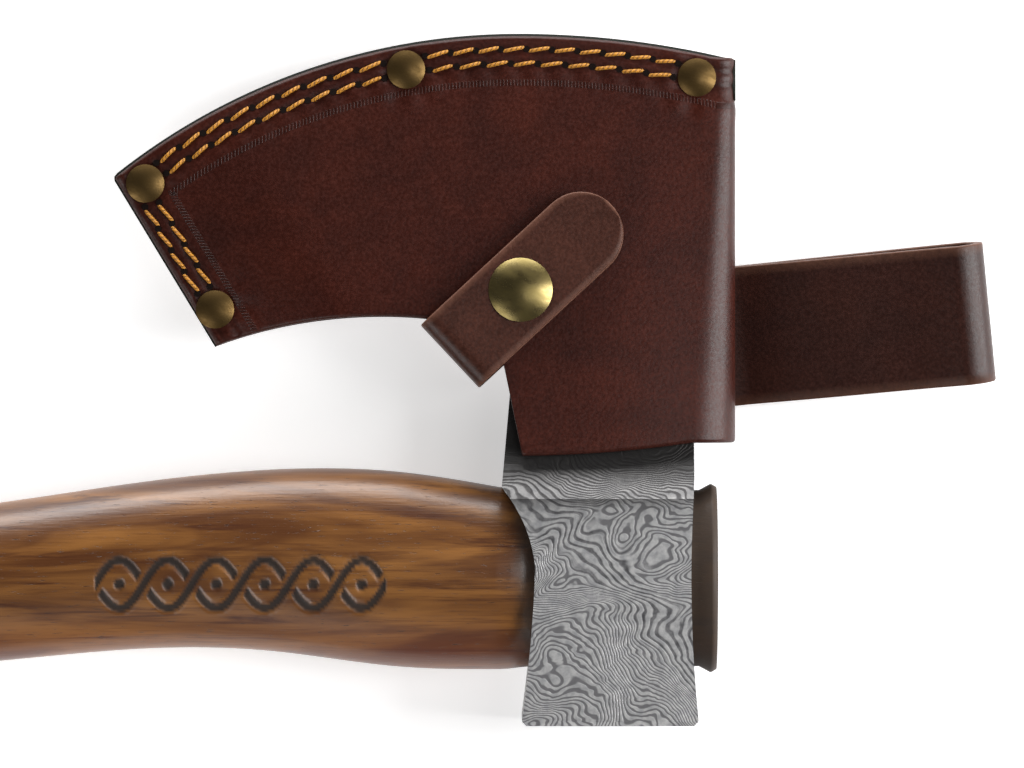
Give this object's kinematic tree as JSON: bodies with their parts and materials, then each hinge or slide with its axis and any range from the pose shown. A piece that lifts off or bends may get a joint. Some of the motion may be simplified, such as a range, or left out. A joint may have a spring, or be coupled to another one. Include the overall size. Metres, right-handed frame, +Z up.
{
  "type": "bearded hand axe with sheath",
  "caption": "One-hand bearded axe with a curved wooden haft, in a riveted leather sheath with a snap strap and a belt loop.",
  "frame": {"origin": "on the head's resting cheek, straight below the centre of the eye", "axes": "+X leaves the eye away from the grip, +Y runs from the poll towards the cutting edge, +Z is up out of the resting cheek"},
  "size_m": [0.5214, 0.1618, 0.032],
  "materials": {
    "forged_steel": "layered steel, etched to a dense wavy pattern, satin",
    "haft_wood": "curved hardwood, oiled and polished, with dark streaks and a burned collar",
    "wedge_wood": "end grain, darkened with the haft's end",
    "wedge_steel": "plain steel, dulled",
    "sheath_leather": "dark brown leather with a soft gloss",
    "welt_leather": "nearly black leather, cut edges",
    "strap_leather": "brown leather, smooth, a little lighter than the sheath",
    "loop_leather": "dark brown leather, glossy over its fold",
    "seam_thread": "waxed thread, golden",
    "antique_brass": "antique brass, domed",
    "snap_brass": "antique brass with a bright rim",
    "spring_steel": "drawn wire"
  },
  "bodies": {
    "axe": {"axe_head": "forged_steel", "haft": "haft_wood", "haft_wedge": "wedge_wood", "steel_wedge": "wedge_steel", "sheath_shell": "sheath_leather", "seam_welt": "welt_leather", "seam_thread_outer": "seam_thread", "seam_thread_inner": "seam_thread", "seam_rivet_caps": "antique_brass", "seam_rivet_posts": "antique_brass", "snap_stud": "snap_brass", "snap_eyelet": "snap_brass", "strap_root": "strap_leather", "strap_rivet_caps": "antique_brass", "strap_rivet_posts": "antique_brass", "belt_loop": "loop_leather", "belt_loop_rivet_caps": "antique_brass", "belt_loop_rivet_posts": "antique_brass"},
    "strap": {"strap_flap": "strap_leather", "snap_cap": "snap_brass", "snap_socket": "snap_brass", "snap_spring": "spring_steel"}
  },
  "joints": [
    {"name": "strap_swing", "type": "hinge", "parent": "axe", "child": "strap", "pos_m": [-0.03649, 0.05373, 0.02929], "axis": [0.682, -0.7284, 0.0655], "range_deg": [0, 165], "deforming": ["strap_root"]}
  ]
}
